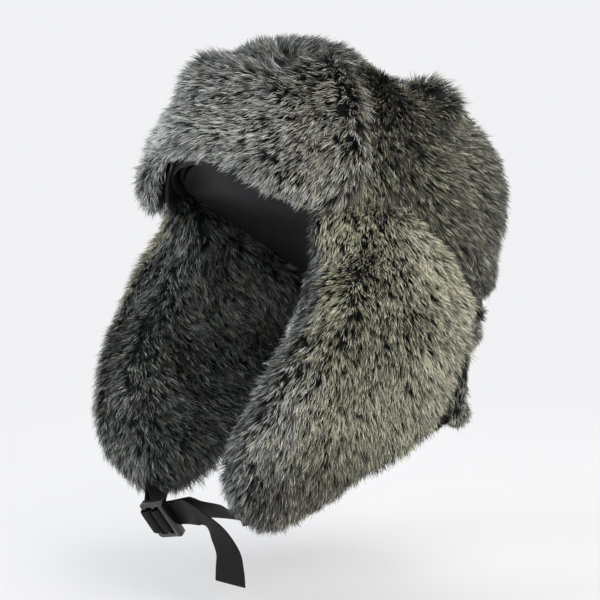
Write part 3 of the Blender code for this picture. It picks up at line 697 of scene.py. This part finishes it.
def make_core(name, nodes, swell, finish, skin_depth, rolls=(), inner_depth=None, cloth_nodes=()):
    """A padded core. skin_depth(places, directions) gives how deep its skin lies, and inner_depth is that
    depth on the side towards the head, if that side carries no fur. Near cloth_nodes it is also the most."""
    mesh = core_mesh(name, nodes, swell, rolls)
    core = add(name, mesh, finish)
    facing = outwardness(coordinates(mesh), normals_of(mesh))
    held = facing < 0.1 if inner_depth is not None else np.abs(facing) > 2
    puffed(core, held)
    places, directions = coordinates(mesh), normals_of(mesh)
    depth = skin_depth(places, directions)
    for line in rolls:
        depth = mix(SEAM_DEPTH, depth, smooth(from_line(places, line), SEAM_NEAR, SEAM_FAR))
    if inner_depth is not None:
        depth = mix(inner_depth, depth, smooth(facing, -0.35, 0.25))
        edge = above_edge(places)
        depth -= (SKIN_DEPTH - EDGE_DEPTH) * (1 - smooth(edge, 0, EDGE_RISE)) * smooth(facing, 0, 0.4)
        under = smooth(-directions[:, 2], 0.3, 0.8) * (1 - smooth(edge, 0, RIM_HEIGHT))
        depth = mix(depth, RIM_DEPTH, under)
    if cloth_nodes:
        furred = [node for node in nodes if node.endswith("fur")]
        cloth = distances(tree_of(*cloth_nodes), places) < distances(tree_of(*furred), places)
        depth = np.where(cloth, np.minimum(depth, inner_depth), depth)
    sink(mesh, neighbour_mean(mesh, swell + depth, 3))
    return core


# Fur


def scattered(mesh, count, keep, dice):
    """Random places on a mesh, even by area, with normals, where keep(places, normals) is true."""
    mesh.calc_loop_triangles()
    corners = np.empty(len(mesh.loop_triangles) * 3, np.int32)
    mesh.loop_triangles.foreach_get("vertices", corners)
    corners = corners.reshape(-1, 3)
    places, directions = coordinates(mesh), normals_of(mesh)
    a, b, c = (places[corners[:, side]] for side in range(3))
    area = np.linalg.norm(np.cross(b - a, c - a), axis=1) / 2
    wanted = keep((a + b + c) / 3, unit(directions[corners].sum(1)))
    area = np.where(wanted, area, 0)
    chosen = dice.choice(len(corners), count, p=area / area.sum())
    first, second = dice.random((2, count, 1))
    over = first + second > 1
    first, second = np.where(over, 1 - first, first), np.where(over, 1 - second, second)
    weights = np.stack([1 - first - second, first, second], 1)
    spots = (places[corners[chosen]] * weights).sum(1)
    return spots, unit((directions[corners[chosen]] * weights).sum(1)), area.sum()


def strand_mesh(name, roots, bends, tips, across, width, colours):
    """Flat tapering strands, each two quads and a pointed end, on a curve from root past bend to tip."""
    count = len(roots)
    t = SHARES[None, :, None]
    line = (1 - t) ** 2 * roots[:, None] + 2 * (1 - t) * t * bends[:, None] + t**2 * tips[:, None]
    half = across[:, None] * (TAPER[None] * width[:, None])[:, :, None] / 2
    places = np.empty((count, 7, 3), np.float32)
    places[:, 0:6:2] = line[:, :3] - half
    places[:, 1:6:2] = line[:, :3] + half
    places[:, 6] = line[:, 3]
    pattern = np.array((0, 1, 3, 2, 2, 3, 5, 4, 4, 5, 6))
    corners = (np.arange(count)[:, None] * 7 + pattern).astype(np.int32).ravel()
    starts = (np.arange(count)[:, None] * 11 + np.array((0, 4, 8))).astype(np.int32).ravel()
    mesh = bpy.data.meshes.new(name)
    mesh.vertices.add(count * 7)
    mesh.vertices.foreach_set("co", places.ravel())
    mesh.loops.add(len(corners))
    mesh.loops.foreach_set("vertex_index", corners)
    mesh.polygons.add(len(starts))
    mesh.polygons.foreach_set("loop_start", starts)
    layer = mesh.uv_layers.new(name="OFBake")
    along = SHARES[pattern // 2]
    uv = np.stack(np.broadcast_arrays(colours[:, None], along[None]), -1)
    layer.data.foreach_set("uv", uv.astype(np.float32).ravel())
    mesh.update(calc_edges=True)
    mesh.validate()
    return mesh


def grow_fur(name, core, keep, comb, finish, seed, length=0.0112, rise=0.6, tone=0.45, clumps=20.0,
             swirl=0.3, longer=1.0, warm=0.5):
    """Clumped fur on a core. comb(places, normals) gives the way it lies; clumps is a number to the square
    centimetre, and rise is the share of the length that it stands away from the skin. tone, from dark at 0 to
    silver at 1, longer, which multiplies the length, and warm, the share of strands with warm tips, are
    numbers or give one for each of the places."""
    dice = np.random.default_rng(seed)
    _, _, area = scattered(core.data, 10, keep, dice)
    count = round(area * 1e4 * clumps)
    spots, out, _ = scattered(core.data, count, keep, dice)
    ruffle = wander(spots, 0.022, seed + 1)
    way = comb(spots, out)
    way = unit(way - out * (way * out).sum(1, keepdims=True))
    sideways = np.cross(out, way)
    way = unit(way + sideways * swirl * ruffle[:, :1] + sideways * dice.normal(0, 0.16, (count, 1)))
    size = length * dice.uniform(0.78, 1.12, (count, 1)) * (1 + 0.1 * ruffle[:, 1:2])
    size *= worked_out(longer, spots)[:, None]
    stand = np.clip(rise * (1 + 0.35 * ruffle[:, 2:3]) + dice.normal(0, 0.07, (count, 1)), 0.12, 0.95)
    reach = way * size * LEAN + out * size * stand
    patches = 0.12 * wander(spots, 0.03, seed + 2)[:, 0]
    clump_tone = worked_out(tone, spots) + patches + dice.normal(0, 0.17, count)

    each = np.repeat(np.arange(count), STRANDS)
    total = len(each)
    out_each, way_each, side_each = out[each], way[each], np.cross(out, way)[each]
    scatter = dice.normal(0, SPREAD, (2, total, 1))
    roots = spots[each] + way_each * scatter[0] + side_each * scatter[1]
    grown = dice.uniform(0.72, 1.12, (total, 1))
    tips = mix(roots, spots[each], CONVERGE) + reach[each] * grown + dice.normal(0, 0.0009, (total, 3))
    bends = roots + out_each * size[each] * 0.42 + way_each * size[each] * 0.18
    across = unit(side_each + 0.8 * dice.normal(0, 1, (total, 1)) * out_each)
    tones = np.clip(clump_tone[each] + dice.normal(0, 0.20, total), 0.01, 0.99)
    warmer = dice.random(total) < worked_out(warm, spots)[each]
    widths = STRAND_WIDTH * dice.uniform(0.7, 1.2, total)
    colours = (warmer + tones * HALF_USED) / 2
    mesh = strand_mesh(name, roots - out_each * 0.001, bends, tips, across, widths, colours)
    print(f"{name}: {total} strands on {area * 1e4:.0f} square centimetres")
    return add(name, mesh, finish)


# The hat's panels


def fanned(places, middle):
    """Downwards, spreading forwards and backwards from that Y."""
    spread = mix(-0.5, 0.45, smooth(places[:, 1] - middle, -0.06, 0.07))
    return np.stack([np.zeros(len(places)), spread, np.full(len(places), -1.0)], 1)


def build_hat():
    silver = fur_material("silver_grey_fur", SILVER_ROOT, SILVER_TIPS, OLIVE_TIPS)
    # The inner plies' fur: partly its own darker colour, partly painted shade
    dark = fur_material("dark_grey_fur", DARKER_AND_SHADED_ROOT, DARKER_AND_SHADED_TIPS, DARKER_AND_SHADED_OLIVE_TIPS)
    skin = cloth_material("pile_backing", (0.006, 0.0065, 0.007), 900)
    lining = cloth_material("black_lining", (0.0065, 0.0065, 0.0075), 1500, 0.6, 0.3)
    webbing = webbing_material()

    make_strap(webbing)
    make_tab(webbing)
    make_buckle(plastic_material())
    make_lining(lining)
    make_sweatband(lining)
    soft_cloth("front_shell", "crown_front_shell", "crown", lining)
    soft_cloth("brow_backing", "brow_flap_backing", "brow_flap", lining)
    make_crown(silver, skin)
    make_brow(silver, skin)
    make_ear_flaps(silver, dark, skin)
    make_nape_flap(silver, dark, skin)


def lobe(places):
    """About 1 on the rounded lobes at the crown's top, behind the middle."""
    x, y, z = np.abs(places[:, 0]), places[:, 1], places[:, 2]
    along = 1.2 * smooth(y, 0.044, 0.060) * (1 - smooth(y, 0.046, 0.088))
    return along * smooth(z, 0.052, 0.070) * smooth(x, 0.028, 0.048)


def valley(places):
    """1 in the dip between the crown's top and its lobes."""
    y, z = places[:, 1], places[:, 2]
    return smooth(z, 0.068, 0.085) * smooth(y, 0.024, 0.034) * (1 - smooth(y, 0.042, 0.056))


def crown_depth(places, directions):
    """Shallower at the lobes and at the sides' front edges, and deeper in the valley before the lobes, on the
    strip between them, behind, and at the lower edge behind."""
    x, y, z = np.abs(places[:, 0]), places[:, 1], places[:, 2]
    behind = smooth(y, 0.03, 0.08) * smooth(z, -0.02, 0.04)
    front = (1 - smooth(y, -0.035, -0.015)) * smooth(x, 0.05, 0.07)
    strip = (1 - smooth(x, 0.02, 0.04)) * smooth(y, -0.02, 0.01)
    low = smooth(y, 0.05, 0.09) * (1 - smooth(above_edge(places), 0.005, 0.025))
    depth = SKIN_DEPTH - 0.003 * front + 0.005 * strip + 0.0035 * behind + 0.011 * low
    return mix(depth, -0.0035, lobe(places)) + 0.007 * valley(places)


def crown_warmth(places):
    """Cool in front, warm at the sides, and between the two on top and behind."""
    y = places[:, 1]
    side = smooth(np.abs(places[:, 0]), 0.035, 0.055)
    return 0.15 + mix(0.35 * smooth(y, -0.02, 0.06), mix(0.8, 0.48, smooth(y, 0.03, 0.1)), side)


def make_crown(silver, skin):
    nodes = [f"crown_{part}_{layer}" for part in REGIONS for layer in ("lining", "batting", "fur")]
    front = ("crown_front_lining", "crown_front_batting")
    core = make_core("crown_padding", (*nodes, *front), CROWN_SWELL, skin, crown_depth,
                     inner_depth=LINING_TO_CORE, cloth_nodes=front)
    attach(core, "crown")
    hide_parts(*[f"crown_{part}_batting" for part in (*REGIONS, "front")])
    trees = {part: tree_of(f"crown_{part}_fur") for part in REGIONS}
    trees["front"] = tree_of(*front)

    def in_region(part):
        def keep(places, directions):
            near = {name: distances(tree, places) for name, tree in trees.items()}
            closest = np.all([near[part] <= near[name] for name in near], axis=0)
            return closest & (outwardness(places, directions) > -0.25)

        return keep

    def comb_strip(places, directions):
        back = smooth(places[:, 1:2], -0.055, -0.025)
        way = mix(np.array((-0.8, -1.0, 0.25)), np.array((0.0, 1.0, 0.1)), back)
        return way + 0.5 * np.sign(places[:, :1]) * back * np.array((1.0, 0, 0))

    def strip_longer(places):
        return 1 + 0.7 * (1 - smooth(places[:, 1], -0.07, -0.04)) - 0.35 * smooth(places[:, 1], -0.01, 0.02)

    def strip_tone_and_crease_shade(places):
        # Darker at its front end: painted shade of the crease above the brow flap
        return 0.28 - 0.18 * (1 - smooth(places[:, 1], -0.055, -0.035))

    def side_longer(places):
        edge = (1 - smooth(above_edge(places), 0.004, 0.022)) * (1 - smooth(places[:, 1], 0.02, 0.06))
        return 1 + 0.3 * lobe(places) + 0.5 * edge

    def side_tone(places):
        front = 1 - smooth(places[:, 1], -0.03, -0.01)
        behind = smooth(places[:, 1], 0.02, 0.06)
        return 0.23 + 0.28 * front + 0.04 * behind - 0.06 * (1 - smooth(places[:, 2], -0.03, 0.03))

    def comb_side(places, directions):
        from_lobe = places - np.array((0, 0.045, 0.085))
        from_lobe[:, 0] = np.sign(places[:, 0]) * (np.abs(places[:, 0]) - 0.06)
        radiating = unit(from_lobe) * smooth(places[:, 2:3], 0.03, 0.09) * 1.2
        back = smooth(places[:, 1], -0.04, 0.08) * smooth(places[:, 2], -0.06, 0.04)
        return fanned(places, 0.0) + np.outer(back, (0, 0.6, 0.2)) + radiating

    side_look = dict(tone=side_tone, longer=side_longer)
    looks = ((comb_strip, dict(tone=strip_tone_and_crease_shade, longer=strip_longer, clumps=17.0)),
             (comb_side, side_look), (comb_side, side_look))
    for number, (part, (comb, look)) in enumerate(zip(REGIONS, looks)):
        fur = grow_fur(f"crown_{part}_pile", core, in_region(part), comb, silver, 100 + number,
                       warm=crown_warmth, **look)
        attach(fur, "crown")
        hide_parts(f"crown_{part}_fur")


def make_brow(silver, skin):
    def round_head(places):
        """Each place's angle from the front, towards the wearer's left."""
        return np.arctan2(places[:, 0], -places[:, 1])

    def brow_depth(places, directions):
        """Deeper on the wearer's right but for its lower edge, and shallower at the top edge elsewhere."""
        rightward = smooth(-places[:, 0], 0.0, 0.04)
        low = 1 - smooth(above_edge(places), 0.0, 0.02)
        top = smooth(places[:, 2], 0.07, 0.09)
        return SKIN_DEPTH - 0.0025 + mix(-0.007 * top, 0.009 - 0.008 * low, rightward)

    core = make_core("brow_flap_padding", ("brow_flap_batting", "brow_flap_fur"), BROW_SWELL, skin,
                     brow_depth, rolls=BROW_END_ROLLS, inner_depth=BACKING_TO_CORE)
    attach(core, "brow_flap")
    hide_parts("brow_flap_batting")

    def keep(places, directions):
        return outwardness(places, directions) > -0.3

    def comb(places, directions):
        around = round_head(places)
        down = -0.3 - 0.9 * smooth(around, 0.1, 0.9) - 0.9 * smooth(-around, 0.3, 1.0)
        return np.stack([-np.cos(around), -np.sin(around), down], 1)

    def longer(places):
        top = smooth(places[:, 2], 0.07, 0.09)
        ends = smooth(np.abs(round_head(places)), 0.85, 1.05)
        return 1 + 0.3 * top + 0.4 * ends

    def tone(places):
        middle = smooth(-places[:, 0], -0.02, 0.02)
        # Darker along the top edge: painted shade of the crease between the brow and the crown's strip
        return 0.56 + 0.08 * middle - 0.25 * smooth(places[:, 2], 0.085, 0.095)

    def warm(places):
        return 0.1 + 0.35 * smooth(round_head(places), 0.6, 1.05)

    fur = grow_fur("brow_flap_pile", core, keep, comb, silver, 110, tone=tone, longer=longer, warm=warm)
    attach(fur, "brow_flap")
    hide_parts("brow_flap_fur")


def make_ear_flaps(silver, dark, skin):
    for name, side in (("left", 1), ("right", -1)):
        body = f"ear_flap_{name}"
        seam = []
        for y, z in EAR_SEAM:
            depth = HEAD_HALF_FRONT if y < 0 else HEAD_HALF_BACK
            seam.append((side * EAR_SEAM_HALF_WIDTH * math.sqrt(1 - (y / (depth + 0.008)) ** 2), y, z))
        start = Vector((side * 0.09, *EAR_SEAM[0]))

        def flap_depth(places, directions):
            """Shallow outside and at the front, deeper behind and inside, and below on the left flap."""
            y, z = places[:, 1], places[:, 2]
            outside = FLAP_SKIN_DEPTH
            if side < 0:
                middle = smooth(-z, 0.02, 0.08) * (1 - smooth(-z, 0.17, 0.20))
                outside = mix(FLAP_INNER_SKIN_DEPTH, RIGHT_FLAP_SKIN_DEPTH, middle)
            depth = mix(FLAP_INNER_SKIN_DEPTH, outside, smooth(directions[:, 0] * side, -0.2, 0.3))
            depth = mix(depth, FLAP_BACK_SKIN_DEPTH, smooth(y, -0.01, 0.05))
            if side < 0:
                return depth
            low_back = smooth(-z, 0.08, 0.12) * smooth(y, -0.055, -0.025)
            high = smooth(-z, 0.02, 0.045) * (1 - smooth(-z, 0.08, 0.12))
            high_front = high * smooth(-directions[:, 1], 0.1, 0.6)
            low_front = smooth(-z, 0.15, 0.18) * smooth(-y, 0.07, 0.09)
            tip = mix(0.002, -0.003, low_front) * smooth(-z, 0.16, 0.19)
            return depth + 0.006 * low_back - 0.007 * high_front + tip

        layers = [f"{body}_{layer}" for layer in ("batting", "outer_fur", "inner_fur")]
        core = make_core(f"{body}_padding", layers, FLAP_SWELL, skin, flap_depth, rolls=(seam,))
        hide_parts(layers[0])

        def below_seam(places):
            return ((places - np.array(start)) @ np.array(EAR_DOWN)) > -FUR_ABOVE_SEAM

        def outer(places, directions):
            return below_seam(places) & (directions[:, 0] * side > -0.05)

        def inner(places, directions):
            return below_seam(places) & (directions[:, 0] * side <= -0.05)

        def comb_outer(places, directions):
            return fanned(places, mix(0.0, -0.055, smooth(-places[:, 2], 0.02, 0.17)))

        def comb_inner(places, directions):
            return np.tile((0.0, 0.25, -1.0), (len(places), 1))

        def longer(places):
            return 1 + 0.3 * (side < 0) * smooth(-places[:, 2], 0.165, 0.195)

        def outer_tone(places):
            behind = smooth(places[:, 1], -0.04, 0.02)
            tip = smooth(-places[:, 2], 0.13, 0.18)
            upper = 1 - smooth(-places[:, 2], 0.04, 0.08)
            return 0.53 + 0.11 * behind + 0.14 * upper - 0.28 * tip * (1 - behind)

        def outer_warmth_and_cool_light_tint(places):
            # Fewer warm tips at the front: a painted cool tint of the light falling on the flap's front;
            # fewer also behind
            return 0.25 + 0.7 * smooth(places[:, 1], -0.105, -0.07) - 0.35 * smooth(places[:, 1], 0.03, 0.1)

        plies = (("outer", outer, comb_outer, silver, "silver_grey_fur",
                  dict(tone=outer_tone, longer=longer, warm=outer_warmth_and_cool_light_tint)),
                 # Inner ply: darker fur, partly its own colour and partly painted shade
                 ("inner", inner, comb_inner, dark, "dark_grey_fur",
                  dict(tone=0.46, swirl=0.8, longer=longer, warm=0.25)))
        pieces = [core]
        for ply, keep, comb, finish, slot, look in plies:
            fur = grow_fur(f"{body}_{ply}_pile", core, keep, comb, finish, 120 + (side > 0) * 5, **look)
            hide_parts(f"{body}_{ply}_fur")
            pieces.append(fur)
        for piece in pieces:
            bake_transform(piece)


def make_nape_flap(silver, dark, skin):
    angles = np.radians(np.concatenate([np.linspace(126, 180, 6), np.linspace(-175, -126, 6)]))
    seam = np.stack([NAPE_SEAM_HALF_WIDTH * np.sin(angles), -NAPE_SEAM_BACK * np.cos(angles),
                     np.full(len(angles), NAPE_SEAM_Z)], 1)
    layers = [f"nape_flap_{layer}" for layer in ("batting", "outer_fur", "inner_fur")]

    def ends(places):
        return smooth(np.abs(places[:, 0]), 0.045, 0.075)

    def nape_depth(places, directions):
        outside = smooth(outwardness(places, directions * (1, 1, 0)), 0.2, 0.7)
        return mix(NAPE_INNER_SKIN_DEPTH, NAPE_SKIN_DEPTH + 0.004 * ends(places), outside)

    def longer(places):
        return 1 - 0.3 * ends(places)

    core = make_core("nape_flap_padding", layers, FLAP_SWELL, skin, nape_depth, rolls=(seam,))
    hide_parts(layers[0])

    def furred(places):
        return places[:, 2] < NAPE_SEAM_Z + 0.018

    def outer(places, directions):
        return furred(places) & (outwardness(places, directions * (1, 1, 0)) > -0.45)

    def inner(places, directions):
        return furred(places) & (outwardness(places, directions * (1, 1, 0)) <= -0.45)

    def comb(places, directions):
        return np.tile((0.0, 0.0, -1.0), (len(places), 1))

    pieces = [core]
    for ply, keep, finish, slot, tone in (("outer", outer, silver, "silver_grey_fur", 0.42),
                                          # Inner ply: darker fur, partly its own colour and partly painted
                                          # shade
                                          ("inner", inner, dark, "dark_grey_fur", 0.4)):
        fur = grow_fur(f"nape_flap_{ply}_pile", core, keep, comb, finish, 140, rise=0.5, tone=tone,
                       length=0.010, longer=longer)
        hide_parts(f"nape_flap_{ply}_fur")
        pieces.append(fur)
    for piece in pieces:
        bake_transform(piece)


# Stage


def make_stage():
    floor_finish, tree, shader = new_material("pale_floor", FLOOR, 0.8)
    glow = tree.nodes.new("ShaderNodeEmission")
    glow.inputs["Color"].default_value = (*SKY, 1)
    glow.inputs["Strength"].default_value = SKY_STRENGTH
    away = tree.nodes.new("ShaderNodeVectorMath")
    away.operation = "LENGTH"
    tree.links.new(object_place(tree), away.inputs[0])
    fade = tree.nodes.new("ShaderNodeMapRange")
    fade.interpolation_type = "SMOOTHSTEP"
    fade.inputs["From Min"].default_value = FLOOR_FADE[0]
    fade.inputs["From Max"].default_value = FLOOR_FADE[1]
    tree.links.new(away.outputs["Value"], fade.inputs["Value"])
    blended = tree.nodes.new("ShaderNodeMixShader")
    tree.links.new(fade.outputs["Result"], blended.inputs[0])
    tree.links.new(shader.outputs[0], blended.inputs[1])
    tree.links.new(glow.outputs[0], blended.inputs[2])
    tree.links.new(blended.outputs[0], tree.nodes["Material Output"].inputs["Surface"])
    mesh = bpy.data.meshes.new("floor")
    corners = [(x * FLOOR_REACH, y * FLOOR_REACH, FLOOR_Z) for x, y in ((-1, -1), (1, -1), (1, 1), (-1, 1))]
    mesh.from_pydata(corners, [], [(0, 1, 2, 3)])
    floor = bpy.data.objects.new("floor", mesh)
    mesh.materials.append(floor_finish)
    bpy.context.scene.collection.objects.link(floor)

    world = bpy.data.worlds.new("studio")
    world.use_nodes = True
    sky = world.node_tree.nodes["Background"]
    sky.inputs["Color"].default_value = (*SKY, 1)
    sky.inputs["Strength"].default_value = SKY_STRENGTH
    bpy.context.scene.world = world

    for name, place, size, power, colour in LAMPS:
        light = bpy.data.lights.new(name, "AREA")
        light.size = size
        light.energy = power
        light.color = colour
        lamp = bpy.data.objects.new(name, light)
        lamp.location = place
        lamp.rotation_euler = (TARGET - Vector(place)).to_track_quat("-Z", "Y").to_euler()
        bpy.context.scene.collection.objects.link(lamp)


def make_camera():
    azimuth, elevation = math.radians(CAMERA_AZIMUTH), math.radians(CAMERA_ELEVATION)
    back = Vector((math.sin(azimuth) * math.cos(elevation), -math.cos(azimuth) * math.cos(elevation),
                   math.sin(elevation)))
    lens = bpy.data.cameras.new("camera")
    lens.lens = LENS
    lens.sensor_width = 36
    lens.shift_x, lens.shift_y = SHIFT
    camera = bpy.data.objects.new("camera", lens)
    camera.location = TARGET + back * CAMERA_AWAY
    camera.rotation_euler = (-back).to_track_quat("-Z", "Y").to_euler()
    bpy.context.scene.collection.objects.link(camera)
    bpy.context.scene.camera = camera
    bpy.context.scene.view_settings.view_transform = "Standard"


make_camera()
make_stage()
build_hat()
